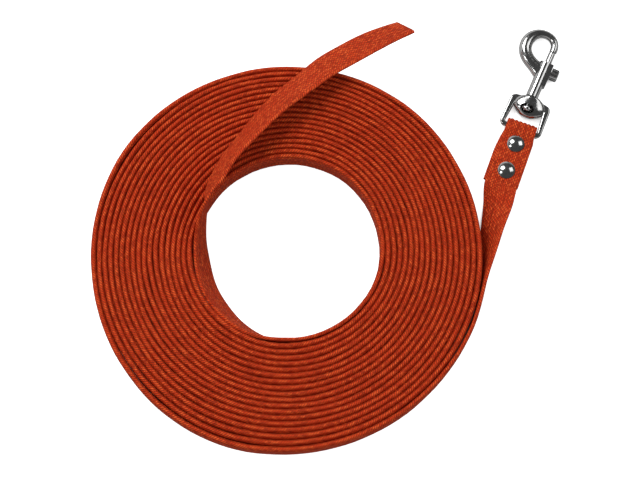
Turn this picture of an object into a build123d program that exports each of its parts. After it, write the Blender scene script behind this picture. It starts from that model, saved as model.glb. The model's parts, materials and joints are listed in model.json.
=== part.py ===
"""Training leash: 20 mm woven webbing rolled on edge, riveted round the swivel eye of a bolt snap.

Millimetres, +Z up. The leash lies on z = 0. The origin is the middle of its outline on that surface.
Seen from above, the webbing winds clockwise from the snap into the coil and out again as a free tail.
"""

from math import cos, radians, sin
import os

from build123d import *

os.makedirs("parts", exist_ok=True)

# ---------------------------------------------------------------- webbing
TAPE_WIDTH = 20.0
TAPE_THICK = 2.6
HALF_TAPE = TAPE_THICK / 2

# The coil. Its turns are half circles that meet on the line x = COIL_X, above and below COIL_Y.
COIL_X = -25.2
COIL_Y = -14.1
FULL_TURNS = 18
OUTER_TOP = 112.9        # middle of the outermost turn, above the coil's centre
OUTER_BOTTOM = 110.9     # the same, below it
PITCH_TOP = 3.08         # the turns lie closer together at the top than at the bottom
PITCH_BOTTOM = 3.45
LEAD_ANGLE = -13.0       # where the lead leaves the coil, in degrees about the first half circle's centre

# Stretches off the coil: middle of the lower edge (x, y from the coil's centre, z), and the lean of the
# width from upright towards the outside of the coil, in degrees. Over the coil the tail leans inwards.
TAIL_STATIONS = [
    (-18.4, -41.9, 0.05, 10),
    (-28.2, -34.0, 0.2, 17),
    (-35.5, -24.9, 0.35, 22),
    (-41.0, -15.7, 0.45, 23),
    (-46.0, 1.5, 0.7, 20),
    (-47.4, 8.5, 2.0, 17),
    (-47.8, 17.0, 10.0, 10),
    (-47.2, 25.5, 17.2, 2),
    (-46.8, 30.5, 20.9, -7),
    (-47.0, 37.3, 20.9, -19),
    (-44.9, 44.5, 20.9, -27),
    (-38.5, 57.8, 20.9, -31),
    (-28.3, 71.6, 21.0, -35),
    (-18.1, 85.1, 21.1, -42),
    (-6.4, 98.0, 21.2, -48),
    (5.1, 107.6, 21.3, -51),
    (17.7, 118.5, 21.3, -56),
    (29.8, 126.0, 21.2, -57),
    (41.2, 132.3, 20.9, -56),
    (56.2, 138.6, 20.0, -49),
    (70.9, 143.4, 19.5, -41),
]
TAIL_CUT = 6.0           # how far the lower corner of the tail's end is cut back
LEAD_STATIONS = [
    (113.3, -8.2, 0.2, 13),
    (114.2, 9.4, 0.6, 29),
    (115.4, 23.6, 1.0, 43),
    (116.6, 36.2, 1.3, 62),
]

# ---------------------------------------------------------------- folded and riveted end
BAR = Vector(COIL_X + 139.3, COIL_Y + 79.8, 4.2)     # middle of the swivel eye's lower bar
STRAP_TILT = 20.0        # the strap's direction, clockwise from +Y
LAYER_GAP = 0.1
RIVET_SPOTS = [9.7, 26.9]    # from the bar, down the strap
FLAP_END = 35.6
FOLD_WIDTH = 18.4        # the tape is squeezed between the eye's arms
FOLD_SQUEEZE_END = 3.4
LOOP_SLACK = 0.9         # the bar may sit this far each way from the middle of the loop
LOOP_TAPER_END = 4.4     # where the layers meet outside, and inside
LOOP_INNER_END = 6.2
CAP_RADIUS = 5.1
CAP_HEIGHT = 2.1
BACK_HEIGHT = 1.5
CAP_RIM = 0.35
POST_RADIUS = 1.5
RIVET_HOLE = 1.52
POST_SOCKET = 0.4        # how far the top cap's post stands into the bottom cap

# ---------------------------------------------------------------- swivel eye
SNAP_TILT = 23.5         # the snap's long axis, clockwise from +Y
BAR_RADIUS = 1.55
BAR_CLEARANCE = 0.06
EYE_SLIDE = -0.6         # the eye sits this far along the bar from the middle of the strap
EYE_INNER_WIDTH = 20.6
EYE_OUTER_WIDTH = 26.4
EYE_TOP_WIDTH = 25.2
EYE_TOP_INNER_WIDTH = 17.6
EYE_THICK = 3.1
EYE_SHOULDER = 19.2
EYE_TOP = 21.2
EYE_INNER_TOP = 15.2
EYE_CORNER = 3.6
EYE_INNER_CORNER = 0.7
EYE_ROUNDING = 1.0
EYE_BAR_LENGTH = 19.6    # the lower bar's round stretch
SWIVEL_OFFSET = -1.0     # the swivel's axis lies this far to the side of the eye's middle
# The eye's boss: distance from the bar, half width and half thickness.
BOSS_STATIONS = [
    (8.5, 2.4, 1.0),
    (9.3, 4.8, 2.2),
    (11.0, 7.4, 3.3),
    (13.5, 9.6, 4.0),
    (16.5, 9.8, 4.1),
    (19.2, 8.2, 4.1),
    (21.2, 4.8, 4.0),
]
WINDOW_AT = 13.0         # the window in the boss, in which the stem's head is seen
WINDOW_HALF_WIDTH = 4.4
WINDOW_HALF_HEIGHT = 2.7
STEM_RADIUS = 1.9
RUNNING_CLEARANCE = 0.06
END_CLEARANCE = 0.3

# ---------------------------------------------------------------- snap, along its axis from the eye's bar
HEAD_START = 10.9
HEAD_TOP = 13.6
HEAD_RADIUS = 3.9
HEAD_RIM = 0.6
SHANK_START = BOSS_STATIONS[-1][0] + END_CLEARANCE
SHANK_END = 44.3
SHANK_RADIUS = 3.7
BORE_START = 25.5
BOLT_RADIUS = 2.0
BOLT_START = 35.8
BOLT_END = 51.3
SPIGOT_RADIUS = 0.9
SPIGOT_LENGTH = 1.3
SPIGOT_CLEARANCE = 0.2
GATE_TRAVEL = 7.0
KNOB_AT = 39.3
KNOB_RADIUS = 3.4
KNOB_NECK_RADIUS = 1.2
KNOB_NECK_DEPTH = 0.4    # how far past the bolt's middle the neck is let in
KNOB_FIT = 0.02
KNOB_CHAMFER = 0.5
KNOB_START = 4.1
KNOB_END = 8.7
KNOB_RIDGES = 12
KNOB_RIDGE_RADIUS = 0.45
GUARD_WIDTH = 5.6
GUARD_REACH = 3.8
GUARD_START = 29.6
GUARD_END = 44.3
GUARD_CORNER = 0.6
SLOT_WIDTH = 2.7
# The hook's middle line (across the axis, along it) with its width in the plane and its thickness.
HOOK_STATIONS = [
    (-0.6, 37.6, 8.6, 5.4),
    (-5.8, 39.6, 8.6, 6.2),
    (-10.4, 41.9, 7.8, 6.6),
    (-14.6, 45.4, 7.7, 6.8),
    (-16.6, 50.4, 7.5, 6.6),
    (-15.9, 55.3, 7.0, 6.4),
    (-13.6, 58.6, 6.0, 6.0),
    (-10.6, 60.4, 5.2, 5.6),
    (-7.1, 60.9, 4.7, 5.2),
    (-3.8, 60.1, 4.7, 5.0),
    (-1.2, 58.0, 4.7, 4.8),
    (0.0, 55.3, 4.6, 4.6),
    (0.2, 52.2, 4.4, 4.4),
]
SPRING_RADIUS = 1.4
SPRING_WIRE = 0.4
SPRING_TURNS = 7

# ---------------------------------------------------------------- frames
STRAP_DOWN = Vector(-sin(radians(STRAP_TILT)), -cos(radians(STRAP_TILT)), 0)
STRAP_ACROSS = Vector(cos(radians(STRAP_TILT)), -sin(radians(STRAP_TILT)), 0)
SNAP_ALONG = Vector(sin(radians(SNAP_TILT)), cos(radians(SNAP_TILT)), 0)
SNAP_ACROSS = Vector(cos(radians(SNAP_TILT)), -sin(radians(SNAP_TILT)), 0)
EYE = BAR + SNAP_ACROSS * EYE_SLIDE
SNAP = Plane(origin=EYE, x_dir=SNAP_ACROSS, z_dir=(0, 0, 1))
SWIVEL = Plane(origin=EYE + SNAP_ACROSS * SWIVEL_OFFSET, x_dir=SNAP_ACROSS, z_dir=(0, 0, 1))


def across_snap(along, offset=0.0):
    """Plane square to the snap's axis: its x runs across, its normal points away from the strap."""
    origin = EYE + SNAP_ALONG * along + SNAP_ACROSS * offset
    return Plane(origin=origin, x_dir=SNAP_ACROSS, z_dir=SNAP_ALONG)


def side_of_snap(along, offset):
    """Plane square to the knob's axis, which points across the snap."""
    origin = EYE + SNAP_ALONG * along + SNAP_ACROSS * offset
    return Plane(origin=origin, x_dir=SNAP_ALONG, z_dir=SNAP_ACROSS)


def tape_section(edge, lean, ahead):
    """Plane square to the tape, with its origin on the middle of the lower edge and y along its width."""
    heading = Vector(ahead.X, ahead.Y, 0).normalized()
    outside = Vector(-heading.Y, heading.X, 0)
    width = Vector(0, 0, 1) * cos(radians(lean)) + outside * sin(radians(lean))
    return Plane(origin=edge, x_dir=width.cross(heading), z_dir=heading)


def tape_sections(stations, first_heading, last_heading):
    """One section plane at each station, each square to the line between its two neighbours."""
    edges = [Vector(COIL_X + x, COIL_Y + y, z) for x, y, z, lean in stations]
    planes = []
    for i, (x, y, z, lean) in enumerate(stations):
        ahead = edges[min(i + 1, len(edges) - 1)] - edges[max(i - 1, 0)]
        if i == 0 and first_heading:
            ahead = first_heading
        if i == len(edges) - 1 and last_heading:
            ahead = last_heading
        planes.append(tape_section(edges[i], lean, ahead))
    return planes


# ---------------------------------------------------------------- webbing: the coil
def half_circles():
    """The coil's middle line, from the lead to the tail: (centre y, radius, first angle, angle swept)."""
    top, bottom = OUTER_TOP + PITCH_TOP, OUTER_BOTTOM
    arcs = [((top - bottom) / 2, (top + bottom) / 2, LEAD_ANGLE, -90 - LEAD_ANGLE)]
    for turn in range(FULL_TURNS):
        top = OUTER_TOP - PITCH_TOP * turn
        bottom = OUTER_BOTTOM - PITCH_BOTTOM * turn
        next_bottom = bottom - PITCH_BOTTOM
        arcs.append(((top - bottom) / 2, (top + bottom) / 2, -90, -180))
        arcs.append(((top - next_bottom) / 2, (top + next_bottom) / 2, 90, -180))
    return arcs


ARCS = half_circles()
with BuildPart() as webbing_coil:
    with BuildSketch(Plane.XY):
        with BuildLine():
            for side in (HALF_TAPE, -HALF_TAPE):
                for centre_y, radius, first, swept in ARCS:
                    CenterArc((COIL_X, COIL_Y + centre_y), radius + side, first, swept)
            lead_y, lead_radius = ARCS[0][0], ARCS[0][1]
            ray = Vector(cos(radians(LEAD_ANGLE)), sin(radians(LEAD_ANGLE)))
            lead_centre = Vector(COIL_X, COIL_Y + lead_y)
            Line(lead_centre + ray * (lead_radius - HALF_TAPE), lead_centre + ray * (lead_radius + HALF_TAPE))
            tail_y = COIL_Y + ARCS[-1][0] - ARCS[-1][1]
            Line((COIL_X, tail_y - HALF_TAPE), (COIL_X, tail_y + HALF_TAPE))
        make_face()
    extrude(amount=TAPE_WIDTH)
webbing_coil.part.label = "webbing_coil"
export_step(webbing_coil.part, "parts/webbing_coil.step")

# ---------------------------------------------------------------- webbing: the free tail
tail_start = (0.0, ARCS[-1][0] - ARCS[-1][1], 0.0, 0)
tail_planes = tape_sections([tail_start] + TAIL_STATIONS, Vector(-1, 0, 0), None)
with BuildPart() as webbing_tail:
    for plane in tail_planes:
        with BuildSketch(plane):
            with Locations((0, TAPE_WIDTH / 2)):
                Rectangle(TAPE_THICK, TAPE_WIDTH)
    loft(ruled=True)
    end = tail_planes[-1]
    cut_plane = Plane(origin=end.origin, x_dir=end.z_dir, z_dir=end.x_dir)
    with BuildSketch(cut_plane):
        with BuildLine():
            Polyline((0.1, -TAPE_WIDTH), (0.1, 1), (-TAIL_CUT, 1), (0.1, -TAPE_WIDTH))
        make_face()
    extrude(amount=TAPE_WIDTH, both=True, mode=Mode.SUBTRACT)
webbing_tail.part.label = "webbing_tail"
export_step(webbing_tail.part, "parts/webbing_tail.step")

# ---------------------------------------------------------------- webbing: the lead, twisting to upright
LAYER_TOP = BAR.Z + LAYER_GAP / 2 + TAPE_THICK
flat_end = BAR + STRAP_DOWN * FLAP_END - STRAP_ACROSS * (TAPE_WIDTH / 2)
flat_start = (flat_end.X - COIL_X, flat_end.Y - COIL_Y, LAYER_TOP - HALF_TAPE, 90)
lead_end = lead_centre + ray * lead_radius
coil_start = (lead_end.X - COIL_X, lead_end.Y - COIL_Y, 0.0, 0)
into_coil = Vector(ray.Y, -ray.X, 0)
lead_stations = [flat_start] + LEAD_STATIONS[::-1] + [coil_start]
with BuildPart() as webbing_lead:
    for plane in tape_sections(lead_stations, STRAP_DOWN, into_coil):
        with BuildSketch(plane):
            with Locations((0, TAPE_WIDTH / 2)):
                Rectangle(TAPE_THICK, TAPE_WIDTH)
    loft(ruled=True)
webbing_lead.part.label = "webbing_lead"
export_step(webbing_lead.part, "parts/webbing_lead.step")

# ---------------------------------------------------------------- webbing: the fold round the eye's bar
LOOP_INNER = BAR_RADIUS + BAR_CLEARANCE
LOOP_OUTER = LOOP_INNER + TAPE_THICK
LAYERS_HALF = LAYER_GAP / 2 + TAPE_THICK
strap_side = Plane(origin=BAR, x_dir=STRAP_DOWN, z_dir=STRAP_ACROSS)
with BuildPart() as webbing_fold:
    with BuildSketch(strap_side):
        with BuildLine():
            Polyline(
                (LOOP_SLACK, LOOP_OUTER), (LOOP_TAPER_END, LAYERS_HALF), (FLAP_END, LAYERS_HALF),
                (FLAP_END, LAYER_GAP / 2), (LOOP_INNER_END, LAYER_GAP / 2), (LOOP_SLACK, LOOP_INNER),
                (-LOOP_SLACK, LOOP_INNER),
            )
            CenterArc((-LOOP_SLACK, 0), LOOP_INNER, 90, 180)
            Polyline(
                (-LOOP_SLACK, -LOOP_INNER), (LOOP_SLACK, -LOOP_INNER), (LOOP_INNER_END, -LAYER_GAP / 2),
                (FLAP_END, -LAYER_GAP / 2), (FLAP_END, -LAYERS_HALF), (LOOP_TAPER_END, -LAYERS_HALF),
                (LOOP_SLACK, -LOOP_OUTER), (-LOOP_SLACK, -LOOP_OUTER),
            )
            CenterArc((-LOOP_SLACK, 0), LOOP_OUTER, 270, -180)
            Line((-LOOP_SLACK, LOOP_OUTER), (LOOP_SLACK, LOOP_OUTER))
        make_face()
    extrude(amount=TAPE_WIDTH / 2, both=True)
    squeezed = Plane(origin=BAR, x_dir=STRAP_DOWN, z_dir=(0, 0, 1))
    with BuildSketch(squeezed):
        reach = LOOP_SLACK + LOOP_OUTER + 1
        for side in (1, -1):
            with Locations(((FOLD_SQUEEZE_END - reach) / 2, side * (FOLD_WIDTH + TAPE_WIDTH) / 4)):
                Rectangle(FOLD_SQUEEZE_END + reach, (TAPE_WIDTH - FOLD_WIDTH) / 2)
    extrude(amount=TAPE_WIDTH, both=True, mode=Mode.SUBTRACT)
    with BuildSketch(squeezed):
        with Locations(*[(spot, 0) for spot in RIVET_SPOTS]):
            Circle(RIVET_HOLE)
    extrude(amount=TAPE_WIDTH, both=True, mode=Mode.SUBTRACT)
webbing_fold.part.label = "webbing_fold"
export_step(webbing_fold.part, "parts/webbing_fold.step")

# ---------------------------------------------------------------- rivets
def half_dome(plane, height):
    """Half of a rivet's dome, standing on plane, to be turned about the plane's normal."""
    bulge = height - CAP_RIM
    upright = Plane(origin=plane.origin, x_dir=plane.x_dir, z_dir=plane.x_dir.cross(plane.z_dir))
    with BuildSketch(upright) as outline:
        with BuildLine():
            Polyline((0, 0), (CAP_RADIUS, 0), (CAP_RADIUS, CAP_RIM))
            RadiusArc((CAP_RADIUS, CAP_RIM), (0, height), -(CAP_RADIUS**2 + bulge**2) / (2 * bulge))
            Line((0, height), (0, 0))
        make_face()
    return outline.sketch


for number, spot in enumerate(RIVET_SPOTS, start=1):
    rivet_axis = BAR + STRAP_DOWN * spot
    top_face = Plane(origin=rivet_axis + Vector(0, 0, LAYERS_HALF), x_dir=STRAP_ACROSS, z_dir=(0, 0, 1))
    bottom_face = Plane(origin=rivet_axis - Vector(0, 0, LAYERS_HALF), x_dir=STRAP_ACROSS, z_dir=(0, 0, -1))

    with BuildPart() as rivet_cap:
        revolve(half_dome(top_face, CAP_HEIGHT), axis=Axis(top_face.origin, top_face.z_dir))
        with BuildSketch(top_face):
            Circle(POST_RADIUS)
        extrude(amount=-(2 * LAYERS_HALF + POST_SOCKET))
    rivet_cap.part.label = f"rivet_cap_{number}"
    export_step(rivet_cap.part, f"parts/rivet_cap_{number}.step")

    with BuildPart() as rivet_back:
        revolve(half_dome(bottom_face, BACK_HEIGHT), axis=Axis(bottom_face.origin, bottom_face.z_dir))
        with BuildSketch(bottom_face):
            Circle(POST_RADIUS)
        extrude(amount=POST_SOCKET, mode=Mode.SUBTRACT)
    rivet_back.part.label = f"rivet_back_{number}"
    export_step(rivet_back.part, f"parts/rivet_back_{number}.step")


# ---------------------------------------------------------------- swivel eye
def head_outline(grown):
    """Half of the stem's head, or of the space for it when grown, to be turned about the swivel's axis."""
    radius = HEAD_RADIUS + grown
    start, rim, top = HEAD_START - grown, HEAD_TOP - HEAD_RIM, HEAD_TOP + grown
    height = rim - start
    with BuildSketch(SWIVEL) as outline:
        with BuildLine():
            Polyline((0, start), (0, top), (radius, top), (radius, rim))
            RadiusArc((radius, rim), (0, start), (radius**2 + height**2) / (2 * height))
        make_face()
    return outline.sketch


with BuildPart() as swivel_eye:
    with BuildSketch(SNAP):
        with BuildLine():
            FilletPolyline(
                (-EYE_OUTER_WIDTH / 2, -BAR_RADIUS), (-EYE_TOP_WIDTH / 2, EYE_SHOULDER), (0, EYE_TOP),
                (EYE_TOP_WIDTH / 2, EYE_SHOULDER), (EYE_OUTER_WIDTH / 2, -BAR_RADIUS),
                radius=EYE_CORNER, close=True,
            )
        make_face()
        with BuildLine():
            FilletPolyline(
                (-EYE_INNER_WIDTH / 2, BAR_RADIUS), (-EYE_TOP_INNER_WIDTH / 2, EYE_INNER_TOP),
                (EYE_TOP_INNER_WIDTH / 2, EYE_INNER_TOP), (EYE_INNER_WIDTH / 2, BAR_RADIUS),
                radius=EYE_INNER_CORNER, close=True,
            )
        make_face(mode=Mode.SUBTRACT)
    extrude(amount=EYE_THICK / 2, both=True)
    flat_faces = swivel_eye.faces().filter_by(Axis.Z)
    fillet(flat_faces.edges(), radius=EYE_ROUNDING)
    with BuildSketch(SNAP):
        Rectangle(EYE_BAR_LENGTH, 2 * BAR_RADIUS + 0.4)
    extrude(amount=EYE_THICK, both=True, mode=Mode.SUBTRACT)
    with BuildSketch(side_of_snap(0, 0)):
        Circle(BAR_RADIUS)
    extrude(amount=EYE_INNER_WIDTH / 2 + 0.6, both=True)
    for along, half_width, half_thick in BOSS_STATIONS:
        with BuildSketch(across_snap(along)):
            Ellipse(half_width, half_thick)
    loft()
    with BuildSketch(SWIVEL):
        with Locations((0, WINDOW_AT)):
            Ellipse(WINDOW_HALF_WIDTH, WINDOW_HALF_HEIGHT)
    extrude(amount=TAPE_WIDTH, both=True, mode=Mode.SUBTRACT)
    swivel_axis = Axis(SWIVEL.origin, SNAP_ALONG)
    revolve(head_outline(END_CLEARANCE), axis=swivel_axis, mode=Mode.SUBTRACT)
    with BuildSketch(across_snap(HEAD_TOP, SWIVEL_OFFSET)):
        Circle(STEM_RADIUS + RUNNING_CLEARANCE)
    extrude(amount=SHANK_START - HEAD_TOP, mode=Mode.SUBTRACT)
swivel_eye.part.label = "swivel_eye"
export_step(swivel_eye.part, "parts/swivel_eye.step")


# ---------------------------------------------------------------- snap body: stem, shank and hook
def hook_planes():
    """Section planes along the hook's middle line, their x in the hook's plane."""
    points = [EYE + SNAP_ACROSS * x + SNAP_ALONG * y for x, y, _, _ in HOOK_STATIONS]
    planes = []
    for i, point in enumerate(points):
        ahead = (points[min(i + 1, len(points) - 1)] - points[max(i - 1, 0)]).normalized()
        planes.append(Plane(origin=point, x_dir=ahead.cross(Vector(0, 0, 1)), z_dir=ahead))
    return planes


with BuildPart() as snap_body:
    for plane, (_, _, width, thickness) in zip(hook_planes(), HOOK_STATIONS):
        with BuildSketch(plane):
            Ellipse(width / 2, thickness / 2)
    loft()
    with BuildSketch(across_snap(SHANK_START, SWIVEL_OFFSET)):
        Circle(SHANK_RADIUS)
    extrude(amount=SHANK_END - SHANK_START)
    with BuildSketch(SNAP):
        with Locations((GUARD_REACH / 2, (GUARD_START + GUARD_END) / 2)):
            RectangleRounded(GUARD_REACH, GUARD_END - GUARD_START, GUARD_CORNER)
    extrude(amount=GUARD_WIDTH / 2, both=True)
    with BuildSketch(across_snap(HEAD_TOP, SWIVEL_OFFSET)):
        Circle(STEM_RADIUS)
    extrude(amount=SHANK_START - HEAD_TOP)
    revolve(head_outline(0), axis=swivel_axis)
    with BuildSketch(across_snap(BORE_START)):
        Circle(BOLT_RADIUS + RUNNING_CLEARANCE)
    extrude(amount=SHANK_END - BORE_START + 1, mode=Mode.SUBTRACT)
    slot_middle = KNOB_AT - GATE_TRAVEL / 2
    with BuildSketch(side_of_snap(slot_middle, 0)):
        SlotCenterToCenter(GATE_TRAVEL, SLOT_WIDTH)
    extrude(amount=GUARD_REACH + 1, mode=Mode.SUBTRACT)
    with BuildSketch(across_snap(BOLT_END)):
        Circle(SPIGOT_RADIUS + SPIGOT_CLEARANCE)
    extrude(amount=SPIGOT_LENGTH + SPIGOT_CLEARANCE, mode=Mode.SUBTRACT)
snap_body.part.label = "snap_body"
export_step(snap_body.part, "parts/snap_body.step")

# ---------------------------------------------------------------- gate: bolt, knob and spring
with BuildPart() as gate_bolt:
    with BuildSketch(across_snap(BOLT_START)):
        Circle(BOLT_RADIUS)
    extrude(amount=BOLT_END - BOLT_START)
    with BuildSketch(across_snap(BOLT_END)):
        Circle(SPIGOT_RADIUS)
    extrude(amount=SPIGOT_LENGTH)
    with BuildSketch(side_of_snap(KNOB_AT, -KNOB_NECK_DEPTH)):
        Circle(KNOB_NECK_RADIUS + KNOB_FIT)
    extrude(amount=BOLT_RADIUS + KNOB_NECK_DEPTH + 1, mode=Mode.SUBTRACT)
gate_bolt.part.label = "gate_bolt"
export_step(gate_bolt.part, "parts/gate_bolt.step")

with BuildPart() as thumb_knob:
    with BuildSketch(side_of_snap(KNOB_AT, -KNOB_NECK_DEPTH)):
        Circle(KNOB_NECK_RADIUS)
    extrude(amount=KNOB_START + KNOB_NECK_DEPTH)
    with BuildSketch(side_of_snap(KNOB_AT, KNOB_START)):
        Circle(KNOB_RADIUS)
    extrude(amount=KNOB_END - KNOB_START)
    outer_end = thumb_knob.faces().sort_by(Axis(EYE, SNAP_ACROSS))[-1]
    chamfer(outer_end.edges(), length=KNOB_CHAMFER)
    with BuildSketch(side_of_snap(KNOB_AT, KNOB_START)):
        with PolarLocations(KNOB_RADIUS, KNOB_RIDGES):
            Circle(KNOB_RIDGE_RADIUS)
    extrude(amount=KNOB_END - KNOB_START - KNOB_CHAMFER)
thumb_knob.part.label = "thumb_knob"
export_step(thumb_knob.part, "parts/thumb_knob.step")

SPRING_START = BORE_START + SPRING_WIRE
SPRING_HEIGHT = BOLT_START - BORE_START - 2 * SPRING_WIRE
spring_base = EYE + SNAP_ALONG * SPRING_START
with BuildPart() as gate_spring:
    with BuildLine():
        coil_line = Helix(SPRING_HEIGHT / SPRING_TURNS, SPRING_HEIGHT, SPRING_RADIUS, spring_base, SNAP_ALONG)
    with BuildSketch(Plane(origin=coil_line @ 0, z_dir=coil_line % 0)):
        Circle(SPRING_WIRE / 2)
    sweep(path=coil_line, is_frenet=True)
gate_spring.part.label = "gate_spring"
export_step(gate_spring.part, "parts/gate_spring.step")
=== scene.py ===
"""Looks for the training leash: woven webbing, dark polished nickel hardware, plain white studio."""

import json
import math

import bpy
import numpy as np
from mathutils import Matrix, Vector

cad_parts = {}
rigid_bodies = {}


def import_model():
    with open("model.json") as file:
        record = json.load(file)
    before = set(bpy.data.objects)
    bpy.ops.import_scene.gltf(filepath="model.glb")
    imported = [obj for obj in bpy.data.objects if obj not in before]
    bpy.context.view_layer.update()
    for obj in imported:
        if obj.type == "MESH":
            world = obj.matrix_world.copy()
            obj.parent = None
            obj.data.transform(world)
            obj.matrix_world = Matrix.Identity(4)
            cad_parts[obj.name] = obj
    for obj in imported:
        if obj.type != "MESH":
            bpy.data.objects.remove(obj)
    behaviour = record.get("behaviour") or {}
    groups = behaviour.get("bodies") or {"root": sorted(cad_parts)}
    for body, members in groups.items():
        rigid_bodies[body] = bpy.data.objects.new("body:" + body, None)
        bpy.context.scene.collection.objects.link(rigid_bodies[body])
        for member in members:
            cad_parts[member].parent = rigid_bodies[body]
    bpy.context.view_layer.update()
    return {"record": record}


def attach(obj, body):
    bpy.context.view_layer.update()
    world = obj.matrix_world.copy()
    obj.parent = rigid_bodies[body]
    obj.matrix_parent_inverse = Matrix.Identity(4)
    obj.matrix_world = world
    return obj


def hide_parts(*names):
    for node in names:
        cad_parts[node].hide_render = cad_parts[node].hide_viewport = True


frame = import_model()
MM = 0.001

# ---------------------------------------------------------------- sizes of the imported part, in millimetres
TAPE_WIDTH = 20.0
COIL = np.array([-25.2, -14.1])
FULL_TURNS = 18
OUTER_TOP, OUTER_BOTTOM = 112.9, 110.9
PITCH_TOP, PITCH_BOTTOM = 3.08, 3.45
LEAD_ANGLE = -13.0
# Middle of the lower edge (x, y from the coil's centre, z) and the lean of the width, in degrees. The
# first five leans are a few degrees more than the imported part's.
TAIL_STATIONS = [
    (-18.4, -41.9, 0.05, 13),
    (-28.2, -34.0, 0.2, 20),
    (-35.5, -24.9, 0.35, 25),
    (-41.0, -15.7, 0.45, 26),
    (-46.0, 1.5, 0.7, 22),
    (-47.4, 8.5, 2.0, 17),
    (-47.8, 17.0, 10.0, 10),
    (-47.2, 25.5, 17.2, 2),
    (-46.8, 30.5, 20.9, -7),
    (-47.0, 37.3, 20.9, -19),
    (-44.9, 44.5, 20.9, -27),
    (-38.5, 57.8, 20.9, -31),
    (-28.3, 71.6, 21.0, -35),
    (-18.1, 85.1, 21.1, -42),
    (-6.4, 98.0, 21.2, -48),
    (5.1, 107.6, 21.3, -51),
    (17.7, 118.5, 21.3, -56),
    (29.8, 126.0, 21.2, -57),
    (41.2, 132.3, 20.9, -56),
    (56.2, 138.6, 20.0, -49),
    (70.9, 143.4, 19.5, -41),
]
TAIL_CUT = 6.0
LEAD_STATIONS = [
    (116.6, 36.2, 1.3, 62),
    (115.4, 23.6, 1.0, 43),
    (114.2, 9.4, 0.6, 29),
    (113.3, -8.2, 0.2, 13),
]
FLAT_LEAN = 90.0         # of the strap, whose width lies level
# How x, y, z and the lean change for each millimetre of tape, at the ends of the free stretches.
LEAD_LEAN_SLOPE = -0.8
TAIL_FIRST_SLOPE = (-1, 0, 0, 0)
TAIL_LAST_SLOPE = (0.94, 0.33, -0.03, 0.4)
BAR = np.array([114.1, 65.7, 4.2])
STRAP_TILT = math.radians(20.0)
STRAP_DOWN = np.array([-math.sin(STRAP_TILT), -math.cos(STRAP_TILT), 0.0])
STRAP_ACROSS = np.array([math.cos(STRAP_TILT), -math.sin(STRAP_TILT), 0.0])
UP = np.array([0.0, 0.0, 1.0])
FLAP_END = 35.6
FOLD_WIDTH = 18.4
LOOP_RADIUS = 2.91       # of the tape's middle round the bar
LOOP_SLACK = 0.9
LOOP_TAPER_END = 7.0     # where the layers part to go round the bar
LAYER_MIDDLE = 1.35      # of the strap's and the flap's thickness, above and below the bar's middle
COIL_LIFT = 0.3          # keeps the turns' waves above the floor
COIL_STEP = 5.5          # between rows of the mesh, in the coil
FREE_STEP = 1.5          # the same, elsewhere
LOOP_ROWS = 17
TAPER_ROWS = 7
LIFT_ROWS = 8            # the coil's lift fades out over this many rows at each end
SWELL_ROWS = 20          # and its swelling over this many
CUT_REACH = 16.0         # the slanted cut shifts this much of the tail's end

# ---------------------------------------------------------------- the webbing's section, in millimetres
HALF_THICK = 1.17
COIL_SLACK = 0.04        # wound up, the turns swell until they almost touch
SELVEDGE = [(0.16, 0.5), (0.5, 0.84), (1.0, 0.97)]     # (from the edge, half thickness) over the rounded edge
RIB_START = 1.6
RIBS = 6
RIB_CREST = (0.3, 0.7)   # the flat top of a rib, as shares of its width
GROOVE = 0.14
FOLD_GROOVE = 0.5
FLAP_SHIFT = 1.2         # the flap below the strap lies this far to the left of it
WIDTH_LOSS = 0.3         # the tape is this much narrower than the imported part's
# Over which distance from the bar the folded tape comes back to its full width, groove and shift.
WIDTH_TAPER = (2.5, 7.5)
GROOVE_TAPER = (1.5, 9.0)
SHIFT_TAPER = (3.0, 18.0)


def smooth_step(value, low, high):
    share = np.clip((value - low) / (high - low), 0, 1)
    return share * share * (3 - 2 * share)


def section_side():
    """One face of the section, from the lower edge up: from the edge, half thickness, groove share."""
    pitch = (TAPE_WIDTH - 2 * RIB_START) / RIBS
    rows = [(b, a, 0.0) for b, a in SELVEDGE]
    for rib in range(RIBS):
        start = RIB_START + pitch * rib
        rows.append((start, HALF_THICK, 1.0))
        rows += [(start + share * pitch, HALF_THICK, 0.0) for share in RIB_CREST]
    rows.append((TAPE_WIDTH - RIB_START, HALF_THICK, 1.0))
    rows += [(TAPE_WIDTH - b, a, 0.0) for b, a in reversed(SELVEDGE)]
    return np.array(rows)


def spline(knots, values, first_slope, last_slope, wanted):
    """Cubic spline through values at knots, clamped to the two end slopes, read at the wanted places."""
    count = len(knots)
    gaps = np.diff(knots)
    system = np.zeros((count, count))
    right = np.zeros((count, values.shape[1]))
    system[0, 0] = system[-1, -1] = 1.0
    right[0], right[-1] = first_slope, last_slope
    for i in range(1, count - 1):
        before, after = gaps[i - 1], gaps[i]
        system[i, i - 1 : i + 2] = (after, 2 * (before + after), before)
        rise = (values[i] - values[i - 1]) / before * after + (values[i + 1] - values[i]) / after * before
        right[i] = 3 * rise
    slopes = np.linalg.solve(system, right)
    span = np.clip(np.searchsorted(knots, wanted, side="right") - 1, 0, count - 2)
    gap = gaps[span][:, None]
    u = ((wanted - knots[span]) / gaps[span])[:, None]
    return (
        (2 * u**3 - 3 * u**2 + 1) * values[span]
        + (u**3 - 2 * u**2 + u) * gap * slopes[span]
        + (-2 * u**3 + 3 * u**2) * values[span + 1]
        + (u**3 - u**2) * gap * slopes[span + 1]
    )


def free_stretch(stations, first_slope, last_slope):
    """Lower edge (x, y, z) and lean in degrees along stations, every FREE_STEP."""
    values = np.array(stations, float)
    knots = np.concatenate([[0.0], np.cumsum(np.linalg.norm(np.diff(values[:, :3], axis=0), axis=1))])
    wanted = np.linspace(0.0, knots[-1], int(knots[-1] / FREE_STEP) + 1)
    return spline(knots, values, np.array(first_slope), np.array(last_slope), wanted)


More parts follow.
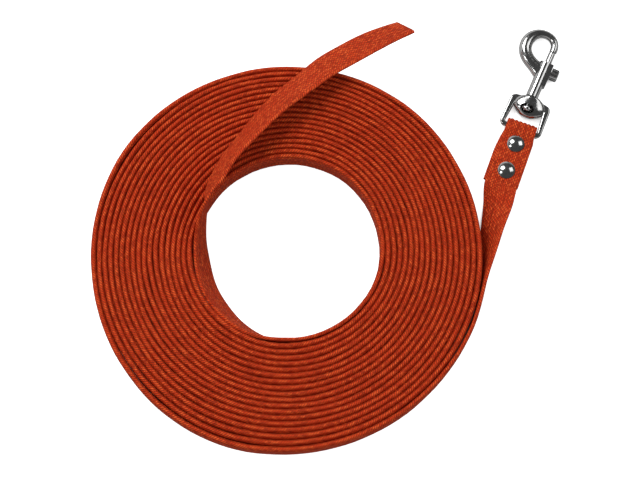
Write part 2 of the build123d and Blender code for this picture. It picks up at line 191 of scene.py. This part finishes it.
# ---------------------------------------------------------------- the webbing's route
# Gentle waves round the coil: waves a turn, drift from turn to turn, size in millimetres, start.
WAVES = [
    (3, 0.5, 0.10, 0.8),
    (5, 0.8, 0.09, 3.1),
    (9, 1.1, 0.07, 5.2),
    (14, 1.7, 0.06, 1.9),
    (23, 2.3, 0.04, 4.4),
    (37, 2.9, 0.03, 2.7),
]
# Where the coil bulges: direction and half width in degrees, then how far the loose outermost turn,
# the outer turns and the inner turns stand out, in millimetres.
BULGES = [
    (30, 40, 0.3, 1.6, 1.1),
    (110, 26, 0.0, 0.2, -1.0),
    (150, 15, 1.0, 0.3, -1.0),
    (240, 22, 1.0, 0.8, 0.0),
    (325, 22, 0.4, 0.6, 0.5),
    (350, 14, 0.2, 0.8, 0.7),
]


WAVE_LIFT = 0.6          # how far the waves go up and down, as a share of their size sideways
LIFT_TIMES, LIFT_DRIFT, LIFT_START = 2, 2.6, 1.7    # set the waves up and down apart from those sideways
LOOSE_TURNS = 0.6        # how much of the outermost turn is loose, and how fast that fades inwards
LOOSE_FADE = 0.8


def strays(angle, turn):
    """How far a turn strays from its circle, sideways and up, in millimetres. Neighbours stray together."""
    sideways = np.zeros(len(angle))
    up = np.zeros(len(angle))
    for times, drift, size, start in WAVES:
        sideways += size * np.sin(times * angle + drift * turn + start)
        lift = (times + LIFT_TIMES) * angle + LIFT_DRIFT * drift * turn + LIFT_START * start
        up += WAVE_LIFT * size * np.sin(lift)
    depth = np.clip(turn / FULL_TURNS, 0, 1)
    loose = np.exp(-np.clip(turn - LOOSE_TURNS, 0, None) / LOOSE_FADE)
    for direction, half_width, outermost, outer, inner in BULGES:
        away = (np.degrees(angle) - direction + 180) % 360 - 180
        share = np.exp(-0.5 * (away / half_width) ** 2)
        sideways += share * (outermost * loose + outer * (1 - depth) + inner * depth)
    return sideways, up


def coil_rows():
    """The coil from the lead to the tail, along its half circles: lower edge, lean, and half the pitch."""
    top, bottom = OUTER_TOP + PITCH_TOP, OUTER_BOTTOM
    arcs = [((top - bottom) / 2, (top + bottom) / 2, LEAD_ANGLE, -90 - LEAD_ANGLE)]
    for turn in range(FULL_TURNS):
        top = OUTER_TOP - PITCH_TOP * turn
        bottom = OUTER_BOTTOM - PITCH_BOTTOM * turn
        next_bottom = bottom - PITCH_BOTTOM
        arcs.append(((top - bottom) / 2, (top + bottom) / 2, -90, -180))
        arcs.append(((top - next_bottom) / 2, (top + next_bottom) / 2, 90, -180))
    rows = []
    wound = 0.0
    for centre_y, radius, first, swept in arcs:
        count = int(radius * math.radians(abs(swept)) / COIL_STEP)
        share = np.arange(count) / count
        angle = np.radians(first + swept * share)
        sideways, up = strays(angle, (wound + abs(swept) * share) / 360)
        wound += abs(swept)
        reach = radius + sideways
        x, y = COIL[0] + reach * np.cos(angle), COIL[1] + centre_y + reach * np.sin(angle)
        pitch = (PITCH_TOP + PITCH_BOTTOM) / 2 + (PITCH_TOP - PITCH_BOTTOM) / 2 * np.sin(angle)
        rows.append(np.column_stack([x, y, COIL_LIFT + up, np.zeros(count), pitch / 2]))
    rows = np.concatenate(rows)
    order = np.arange(len(rows))
    rows[:, 2] *= smooth_step(np.minimum(order, order[::-1]), 0, LIFT_ROWS)
    return rows[:, :4], rows[:, 4]


def fold_rows():
    """The flap below, the loop round the bar and the strap above: distance from the bar, and height."""
    flat = np.arange(FLAP_END, LOOP_TAPER_END, -FREE_STEP)
    taper = np.linspace(0, 1, TAPER_ROWS)[1:-1]
    bend = 0.5 - 0.5 * np.cos(math.pi * taper)
    along = [*flat, *(LOOP_TAPER_END + (LOOP_SLACK - LOOP_TAPER_END) * taper)]
    height = [*([-LAYER_MIDDLE] * len(flat)), *(-LAYER_MIDDLE - (LOOP_RADIUS - LAYER_MIDDLE) * bend)]
    angles = np.radians(np.linspace(270, 90, LOOP_ROWS))
    loop_along = -LOOP_SLACK + LOOP_RADIUS * np.cos(angles)
    loop_height = LOOP_RADIUS * np.sin(angles)
    along = np.array([*along, LOOP_SLACK, *loop_along, LOOP_SLACK, *along[::-1]])
    height = np.array([*height, -LOOP_RADIUS, *loop_height, LOOP_RADIUS, *(-np.array(height[::-1]))])
    return along, height


along, height = fold_rows()
fold_width = FOLD_WIDTH + (TAPE_WIDTH - FOLD_WIDTH) * smooth_step(along, *WIDTH_TAPER)
fold_groove = FOLD_GROOVE + (GROOVE - FOLD_GROOVE) * smooth_step(along, *GROOVE_TAPER)
fold_edge = BAR + along[:, None] * STRAP_DOWN + height[:, None] * UP - fold_width[:, None] / 2 * STRAP_ACROSS
flap_shift = FLAP_SHIFT * smooth_step(along, *SHIFT_TAPER) * (height < 0)
fold_edge -= flap_shift[:, None] * STRAP_ACROSS
flat_end = np.append(fold_edge[-1], FLAT_LEAN)

coil, half_pitch = coil_rows()
ray = np.array([math.cos(math.radians(LEAD_ANGLE)), math.sin(math.radians(LEAD_ANGLE))])
lead_stations = [flat_end, *[(COIL[0] + x, COIL[1] + y, z, lean) for x, y, z, lean in LEAD_STATIONS], coil[0]]
lead = free_stretch(lead_stations, (*STRAP_DOWN, LEAD_LEAN_SLOPE), (ray[1], -ray[0], 0, 0))
tail_start = coil[-1] + np.array([-COIL_STEP, 0, 0, 0])
tail_stations = [tail_start, *[(COIL[0] + x, COIL[1] + y, z, lean) for x, y, z, lean in TAIL_STATIONS]]
tail = free_stretch(tail_stations, TAIL_FIRST_SLOPE, TAIL_LAST_SLOPE)

edges = np.concatenate([fold_edge, lead[1:-1, :3], coil[:, :3], tail[:, :3]])
fold_leans = np.full(len(along), FLAT_LEAN)
leans = np.radians(np.concatenate([fold_leans, lead[1:-1, 3], coil[:, 3], tail[:, 3]]))
loop_rows = len(along)
widths = np.full(len(edges), TAPE_WIDTH - WIDTH_LOSS)
widths[:loop_rows] = fold_width
grooves = np.full(len(edges), GROOVE)
grooves[:loop_rows] = fold_groove
swell = np.full(len(edges), HALF_THICK)
first_coil, last_coil = loop_rows + len(lead) - 2, loop_rows + len(lead) - 2 + len(coil)
order = np.arange(len(coil))
swollen = smooth_step(np.minimum(order, order[::-1]), 0, SWELL_ROWS)
swell[first_coil:last_coil] += (half_pitch - COIL_SLACK - HALF_THICK) * swollen
travel = np.concatenate([[0.0], np.cumsum(np.linalg.norm(np.diff(edges, axis=0), axis=1))])
print("webbing length", round(travel[-1] * MM, 3), "m")

ahead = np.gradient(edges, axis=0)
ahead /= np.linalg.norm(ahead, axis=1)[:, None]
level = ahead * [1, 1, 0]
level[:loop_rows] = STRAP_DOWN
level /= np.linalg.norm(level, axis=1)[:, None]
outside = np.column_stack([-level[:, 1], level[:, 0], np.zeros(len(level))])
width_dirs = np.cos(leans)[:, None] * UP + np.sin(leans)[:, None] * outside
ahead_square = ahead - np.sum(ahead * width_dirs, axis=1)[:, None] * width_dirs
thick_dirs = np.cross(width_dirs, ahead_square)
thick_dirs /= np.linalg.norm(thick_dirs, axis=1)[:, None]


def build_webbing():
    """One closed mesh: a ring of the section's points at each row of the route, and a cap at both ends."""
    side = section_side()
    from_edge = np.concatenate([[0.0], side[:, 0], [TAPE_WIDTH], side[::-1, 0]])
    sign = np.concatenate([[0.0], np.ones(len(side)), [0.0], -np.ones(len(side))])
    thick = np.concatenate([[0.0], side[:, 1], [0.0], side[::-1, 1]])
    in_groove = np.concatenate([[0.0], side[:, 2], [0.0], side[::-1, 2]])
    ring = len(from_edge)
    rows = len(edges)
    crown = np.clip((thick - SELVEDGE[-1][1]) / (HALF_THICK - SELVEDGE[-1][1]), 0, 1)
    offset = sign * (thick + crown * (swell[:, None] - HALF_THICK) - in_groove * grooves[:, None])
    reach = from_edge * (widths / TAPE_WIDTH)[:, None]
    at_cut = smooth_step(travel, travel[-1] - CUT_REACH, travel[-1])[:, None]
    cut = at_cut * TAIL_CUT * (1 - from_edge / TAPE_WIDTH)
    points = (
        edges[:, None, :]
        + reach[:, :, None] * width_dirs[:, None, :]
        + offset[:, :, None] * thick_dirs[:, None, :]
        - cut[:, :, None] * ahead[:, None, :]
    )
    faces = []
    for row in range(rows - 1):
        base = row * ring
        for i in range(ring):
            j = (i + 1) % ring
            faces.append((base + i, base + ring + i, base + ring + j, base + j))
    half = len(side)
    last = (rows - 1) * ring
    for i in range(half + 1):
        near, far = i, i + 1
        mirror_near, mirror_far = (ring - near) % ring, ring - far
        start_cap = list(dict.fromkeys((near, far, mirror_far, mirror_near)))
        faces.append(tuple(start_cap))
        faces.append(tuple(last + v for v in reversed(start_cap)))
    mesh = bpy.data.meshes.new("webbing")
    mesh.from_pydata((points.reshape(-1, 3) * MM).tolist(), [], faces)
    mesh.shade_smooth()
    round_section = np.hypot(np.diff(np.append(from_edge, 0.0)), np.diff(np.append(sign * thick, 0.0)))
    across = np.concatenate([[0.0], np.cumsum(round_section)])
    layer = mesh.uv_layers.new(name="tape")
    corners = np.empty(len(mesh.loops), int)
    mesh.loops.foreach_get("vertex_index", corners)
    lengthwise = (travel[:, None] - cut).reshape(-1)[corners]
    place = corners % ring
    crosswise = across[place]
    strip = (rows - 1) * ring * 4
    seam = np.zeros(len(corners), bool)
    seam[:strip] = (np.arange(strip) // 4 % ring == ring - 1) & (place[:strip] == 0)
    crosswise = np.where(seam, across[-1], crosswise)
    layer.data.foreach_set("uv", (np.column_stack([lengthwise, crosswise]) * MM).ravel())
    mesh.validate()
    webbing = bpy.data.objects.new("webbing_tape", mesh)
    bpy.context.scene.collection.objects.link(webbing)
    return webbing


# ---------------------------------------------------------------- materials, in metres
def new_material(name):
    """A node material with its tree and its principled shader."""
    material = bpy.data.materials.new(name)
    material.use_nodes = True
    return material, material.node_tree, material.node_tree.nodes["Principled BSDF"]


def math_node(tree, operation, first, second=None, third=None):
    node = tree.nodes.new("ShaderNodeMath")
    node.operation = operation
    for socket, value in zip(node.inputs, (first, second, third)):
        if isinstance(value, (int, float)):
            socket.default_value = value
        elif value is not None:
            tree.links.new(value, socket)
    return node.outputs[0]


def mix_colour(tree, share, first, second, blend="MIX"):
    node = tree.nodes.new("ShaderNodeMix")
    node.data_type = "RGBA"
    node.blend_type = blend
    for socket, value in ((node.inputs[0], share), (node.inputs[6], first), (node.inputs[7], second)):
        if isinstance(value, (int, float, tuple)):
            socket.default_value = value
        else:
            tree.links.new(value, socket)
    return node.outputs[2]


def map_range(tree, value, low, high, to_low=0.0, to_high=1.0):
    node = tree.nodes.new("ShaderNodeMapRange")
    tree.links.new(value, node.inputs["Value"])
    node.inputs["From Min"].default_value, node.inputs["From Max"].default_value = low, high
    node.inputs["To Min"].default_value, node.inputs["To Max"].default_value = to_low, to_high
    return node.outputs["Result"]


def noise(tree, vector, scale, detail=2.0):
    node = tree.nodes.new("ShaderNodeTexNoise")
    node.inputs["Scale"].default_value = scale
    node.inputs["Detail"].default_value = detail
    tree.links.new(vector, node.inputs["Vector"])
    return node.outputs["Fac"]


def add_bump(tree, relief, strength_and_distance, shader):
    node = tree.nodes.new("ShaderNodeBump")
    node.inputs["Strength"].default_value, node.inputs["Distance"].default_value = strength_and_distance
    tree.links.new(relief, node.inputs["Height"])
    tree.links.new(node.outputs[0], shader.inputs["Normal"])


YARN = 0.00115           # width of one lengthwise yarn
PICK = 0.0021            # length of one float of it
EDGE_PICK = 0.0016       # how far apart the threads round the edges are
SECTION_ROUND = 0.0415   # round the whole section, near enough
RIB_FIRST = 0.0021       # from the middle of an edge to the first groove, round the section
RIB_PITCH = 0.0028
WANDER_SCALE = 160.0     # the yarns wander by this noise, so far along the tape and across it
WANDER_ALONG = 0.0009
WANDER_ACROSS = 0.0003
PLUMPNESS = 0.7          # below 1 gives a yarn a flatter crown
EDGE_SLANT = 0.75
EDGE_RELIEF = 1.35       # of the edge threads, beside the face's 1; it also sets how deep their painted shade goes
EDGE_END = (0.0012, 0.0019)     # where the edge threads give way to the face, from the edge's middle
CLOUD_SCALE = 38.0
CLOUD_DETAIL = 3.0
FUZZ_SCALE = 2600.0
FUZZ_RELIEF = 0.35
WEAVE_BUMP = (0.9, 0.0004)      # strength and distance
# Each of these turns a height or a noise into a share: from low, from high, to low, to high.
LIT_THREAD = (0.05, 0.7)
PALE_FLECKS = (0.45, 1.0, 0.0, 0.8)
DARK_FLECKS = (0.35, 0.0, 0.0, 0.65)
GROOVE_SHADE = (0.0, 0.0006, 0.55, 0.0)
CLOUDS = (0.3, 0.7, 0.0, 0.3)
FUZZ_SHARE = (0.45, 0.75, 0.0, 0.5)
FUZZ_ROUGHNESS = (0.3, 0.7, 0.55, 0.8)
# Colours: the first is painted shade in the weave's valleys and rib grooves, and the dark flecks' colour too;
# the third is the pale flecks' colour, a painted highlight on the yarn crowns.
WEBBING_SHADE_AND_DARK_FLECK = (0.13, 0.006, 0.001, 1.0)
WEBBING_BRIGHT = (0.78, 0.052, 0.008, 1.0)
WEBBING_FLECK_AND_HIGHLIGHT = (1.0, 0.18, 0.04, 1.0)
WEBBING_SHADE = (0.46, 0.024, 0.005, 1.0)
WEBBING_FUZZ = (0.98, 0.13, 0.03, 1.0)


def weave_material():
    """Orange-red webbing: plump yarns in staggered columns, slanting threads round both edges, with painted
    shade in the weave's valleys and rib grooves and painted highlights on pale flecks.
    """
    material, tree, shader = new_material("webbing_weave")
    links = tree.links
    uv = tree.nodes.new("ShaderNodeUVMap")
    uv.uv_map = "tape"
    split = tree.nodes.new("ShaderNodeSeparateXYZ")
    links.new(uv.outputs[0], split.inputs[0])
    wander = noise(tree, uv.outputs[0], WANDER_SCALE)
    along_tape = math_node(tree, "MULTIPLY_ADD", wander, WANDER_ALONG, split.outputs[0])
    across_tape = math_node(tree, "MULTIPLY_ADD", wander, WANDER_ACROSS, split.outputs[1])

    column = math_node(tree, "DIVIDE", across_tape, YARN)
    column_number = math_node(tree, "FLOOR", column)
    stagger = math_node(tree, "MULTIPLY", math_node(tree, "FLOORED_MODULO", column_number, 2.0), 0.5)
    pick = math_node(tree, "ADD", math_node(tree, "DIVIDE", along_tape, PICK), stagger)
    in_column = math_node(tree, "PINGPONG", column, 0.5)
    in_pick = math_node(tree, "PINGPONG", pick, 0.5)
    yarn_round = math_node(tree, "POWER", math_node(tree, "MULTIPLY", in_column, 2.0), PLUMPNESS)
    pick_round = math_node(tree, "POWER", math_node(tree, "MULTIPLY", in_pick, 2.0), PLUMPNESS)
    face_height = math_node(tree, "MULTIPLY", yarn_round, pick_round)

    to_edge = math_node(tree, "PINGPONG", split.outputs[1], SECTION_ROUND / 2)
    slant = math_node(tree, "MULTIPLY_ADD", across_tape, EDGE_SLANT, along_tape)
    thread = math_node(tree, "PINGPONG", math_node(tree, "DIVIDE", slant, EDGE_PICK), 0.5)
    edge_height = math_node(tree, "MULTIPLY", thread, EDGE_RELIEF)
    edge_near, edge_far = EDGE_END
    near_bottom = map_range(tree, to_edge, edge_near, edge_far, 1.0, 0.0)
    other_edge = SECTION_ROUND / 2
    near_top = map_range(tree, to_edge, other_edge - edge_far, other_edge - edge_near, 0.0, 1.0)
    at_edge = math_node(tree, "MAXIMUM", near_bottom, near_top)
    off_edge = math_node(tree, "SUBTRACT", 1.0, at_edge)
    height_mix = tree.nodes.new("ShaderNodeMix")
    for socket, value in zip((0, 2, 3), (at_edge, face_height, edge_height)):
        links.new(value, height_mix.inputs[socket])
    height_now = height_mix.outputs[0]

    cell = tree.nodes.new("ShaderNodeCombineXYZ")
    links.new(column_number, cell.inputs[0])
    links.new(math_node(tree, "FLOOR", pick), cell.inputs[1])
    fleck = tree.nodes.new("ShaderNodeTexWhiteNoise")
    links.new(cell.outputs[0], fleck.inputs["Vector"])
    cloudy = noise(tree, uv.outputs[0], CLOUD_SCALE, CLOUD_DETAIL)
    fuzz = noise(tree, uv.outputs[0], FUZZ_SCALE)

    # Painted shade: the valleys between the yarns and between the edge threads go dark and their crowns
    # bright, by the height of the weave.
    lit_thread = map_range(tree, height_now, *LIT_THREAD)
    shaded_thread_colour = mix_colour(tree, lit_thread, WEBBING_SHADE_AND_DARK_FLECK, WEBBING_BRIGHT)
    # Random yarn floats turn paler, but only on their lit crowns: a paler tone and also a painted highlight.
    pale = map_range(tree, fleck.outputs["Value"], *PALE_FLECKS)
    crown_highlight = math_node(tree, "MULTIPLY", pale, lit_thread)
    highlighted = mix_colour(tree, crown_highlight, shaded_thread_colour, WEBBING_FLECK_AND_HIGHLIGHT)
    darker = map_range(tree, fleck.outputs["Value"], *DARK_FLECKS)
    mottled = mix_colour(tree, darker, highlighted, WEBBING_SHADE_AND_DARK_FLECK)
    # Painted shade darkens the grooves between the ribs.
    from_rib = math_node(tree, "PINGPONG", math_node(tree, "SUBTRACT", to_edge, RIB_FIRST), RIB_PITCH / 2)
    rib_groove_shade = math_node(tree, "MULTIPLY", map_range(tree, from_rib, *GROOVE_SHADE), off_edge)
    groove_shaded = mix_colour(tree, rib_groove_shade, mottled, WEBBING_SHADE_AND_DARK_FLECK)
    clouded = mix_colour(tree, map_range(tree, cloudy, *CLOUDS), groove_shaded, WEBBING_SHADE)
    fuzzy = mix_colour(tree, map_range(tree, fuzz, *FUZZ_SHARE), clouded, WEBBING_FUZZ)
    links.new(fuzzy, shader.inputs["Base Color"])
    links.new(map_range(tree, fuzz, *FUZZ_ROUGHNESS), shader.inputs["Roughness"])
    shader.inputs["Specular IOR Level"].default_value = 0.1
    shader.inputs["Sheen Weight"].default_value = 0.03
    shader.inputs["Sheen Roughness"].default_value = 0.4
    shader.inputs["Sheen Tint"].default_value = (1.0, 0.45, 0.25, 1.0)

    relief = math_node(tree, "MULTIPLY_ADD", fuzz, FUZZ_RELIEF, height_now)
    add_bump(tree, relief, WEAVE_BUMP, shader)
    return material


STAIN_SCALE, STAIN_DETAIL, STAIN_SHARE = 420.0, 4.0, (0.35, 0.65)
RUB_SCALE, RUB_DETAIL, RUB_SHARE = 1500.0, 3.0, (0.35, 0.7)
RUB_ROUGHNESS = 0.12     # how much rougher the rubs are
SPECK_SCALE, SPECK_RELIEF = 5200.0, 0.3
METAL_BUMP = (0.12, 0.00006)    # strength and distance


def metal_material(name, colour, worn, roughness):
    """Polished plate: faint stains, duller rubs and fine specks."""
    material, tree, shader = new_material(name)
    links = tree.links
    place = tree.nodes.new("ShaderNodeTexCoord").outputs["Object"]
    stain = noise(tree, place, STAIN_SCALE, STAIN_DETAIL)
    rub = noise(tree, place, RUB_SCALE, RUB_DETAIL)
    speck = noise(tree, place, SPECK_SCALE)
    tone = mix_colour(tree, map_range(tree, stain, *STAIN_SHARE), colour, worn)
    links.new(tone, shader.inputs["Base Color"])
    shader.inputs["Metallic"].default_value = 1.0
    spread = map_range(tree, rub, *RUB_SHARE, roughness, roughness + RUB_ROUGHNESS)
    links.new(spread, shader.inputs["Roughness"])
    add_bump(tree, math_node(tree, "MULTIPLY_ADD", speck, SPECK_RELIEF, rub), METAL_BUMP, shader)
    return material


webbing = build_webbing()
webbing.data.materials.append(weave_material())
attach(webbing, "webbing")
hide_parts("webbing_coil", "webbing_lead", "webbing_fold", "webbing_tail")

METALS = {
    "nickel": metal_material("dark_nickel", (0.40, 0.40, 0.395, 1.0), (0.50, 0.50, 0.495, 1.0), 0.10),
    "rivet": metal_material("rivet_nickel", (0.45, 0.455, 0.455, 1.0), (0.55, 0.555, 0.55, 1.0), 0.09),
    "spring_steel": metal_material("spring_wire", (0.50, 0.50, 0.50, 1.0), (0.62, 0.61, 0.60, 1.0), 0.22),
}
for row in frame["record"]["subparts"]:
    metal = METALS.get(row["material_slot"])
    if metal:
        node = bpy.data.objects[row["node"]]
        for slot in node.material_slots:
            slot.material = metal

# ---------------------------------------------------------------- floor, lights, camera, in metres
FLOOR_HALF = 6.0
FLOOR_WHITE = (0.8, 0.8, 0.8, 1.0)
FLOOR_GREY = (0.3, 0.3, 0.3, 1.0)       # as the leash is lit by it
FLOOR_MIRRORED = (0.6, 0.6, 0.6, 1.0)   # as polished metal shows it
GAP_REACH = 0.02         # how near the leash has to be to count as covering the floor
FLOOR_GLOW = (0.1, 0.4, 0.0, 0.9)       # from how open the floor is, to how strongly it glows


def floor_shading():
    """White with a glow where open, to the camera; the glow dims in narrow gaps under and between the turns,
    a painted shadow. Other rays see a grey floor, so it lights less.
    """
    material, tree, shader = new_material("pale_floor")
    shader.inputs["Base Color"].default_value = FLOOR_WHITE
    shader.inputs["Roughness"].default_value = 0.9
    shader.inputs["Specular IOR Level"].default_value = 0.0
    shader.inputs["Emission Color"].default_value = (1.0, 1.0, 1.0, 1.0)
    # Painted shadow: the floor's glow fades where the leash covers it closely.
    openness = tree.nodes.new("ShaderNodeAmbientOcclusion")
    openness.inputs["Distance"].default_value = GAP_REACH
    glow = map_range(tree, openness.outputs["AO"], *FLOOR_GLOW)
    tree.links.new(glow, shader.inputs["Emission Strength"])
    grey = tree.nodes.new("ShaderNodeBsdfDiffuse")
    path = tree.nodes.new("ShaderNodeLightPath").outputs
    grey_tone = mix_colour(tree, path["Is Glossy Ray"], FLOOR_GREY, FLOOR_MIRRORED)
    tree.links.new(grey_tone, grey.inputs["Color"])
    seen_or_not = tree.nodes.new("ShaderNodeMixShader")
    for socket, value in enumerate((path["Is Camera Ray"], grey.outputs[0], shader.outputs[0])):
        tree.links.new(value, seen_or_not.inputs[socket])
    tree.links.new(seen_or_not.outputs[0], tree.nodes["Material Output"].inputs["Surface"])
    return material


def build_floor():
    corners = [(x * FLOOR_HALF, y * FLOOR_HALF, 0.0) for x, y in ((-1, -1), (1, -1), (1, 1), (-1, 1))]
    mesh = bpy.data.meshes.new("floor")
    mesh.from_pydata(corners, [], [(0, 1, 2, 3)])
    mesh.materials.append(floor_shading())
    floor = bpy.data.objects.new("floor", mesh)
    bpy.context.scene.collection.objects.link(floor)
    return floor


floor = build_floor()


def aim(thing, place, target):
    thing.location = place
    thing.rotation_euler = (Vector(target) - Vector(place)).to_track_quat("-Z", "Y").to_euler()
    bpy.context.scene.collection.objects.link(thing)


# Name, place, side of the square, and watts. Each is aimed at the middle of the leash.
LIGHTS = [
    ("key", (-0.5, 0.72, 1.15), 0.6, 10.5),
    ("left_spot", (-0.95, -0.15, 1.15), 0.3, 2.5),
    ("right_softbox", (1.0, 0.35, 0.95), 0.7, 3.0),
]
for name, place, side, watts in LIGHTS:
    light_data = bpy.data.lights.new(name, "AREA")
    light_data.size = side
    light_data.energy = watts
    aim(bpy.data.objects.new(name, light_data), place, (0.0, 0.0, 0.0))

# Each of these turns a height above the horizon into a strength: from low, from high, to low, to high.
SKY_ON_CLOTH = (0.15, 0.8, 0.72, 0.4)
SKY_IN_METAL = (0.1, 0.4, 0.9, 0.08)
WALL_SLOPE = 0.25        # how much sooner the wall in the metal gives way to the ceiling on the right


def build_world():
    """Soft light all round for the cloth. Polished metal sees bright walls and a dark ceiling."""
    world = bpy.data.worlds.new("studio")
    bpy.context.scene.world = world
    world.use_nodes = True
    sky = world.node_tree
    direction = sky.nodes.new("ShaderNodeSeparateXYZ")
    sky.links.new(sky.nodes.new("ShaderNodeTexCoord").outputs["Generated"], direction.inputs[0])
    ambient = map_range(sky, direction.outputs[2], *SKY_ON_CLOTH)
    height = math_node(sky, "MULTIPLY_ADD", direction.outputs[0], WALL_SLOPE, direction.outputs[2])
    mirrored = map_range(sky, height, *SKY_IN_METAL)
    in_metal = sky.nodes.new("ShaderNodeLightPath").outputs["Is Glossy Ray"]
    brightness = sky.nodes.new("ShaderNodeMix")
    for socket, value in zip((0, 2, 3), (in_metal, ambient, mirrored)):
        sky.links.new(value, brightness.inputs[socket])
    sky.links.new(brightness.outputs[0], sky.nodes["Background"].inputs["Strength"])
    sky.nodes["Background"].inputs["Color"].default_value = (1.0, 1.0, 1.0, 1.0)


build_world()
bpy.context.scene.view_settings.view_transform = "Standard"

CAMERA_PLACE = (-0.0056, -0.221, 1.085)
CAMERA_TARGET = (-0.0056, -0.0019, 0.007)
camera_data = bpy.data.cameras.new("camera")
camera_data.lens = 105.2
camera_data.sensor_width = 36.0
camera = bpy.data.objects.new("camera", camera_data)
aim(camera, CAMERA_PLACE, CAMERA_TARGET)
bpy.context.scene.camera = camera
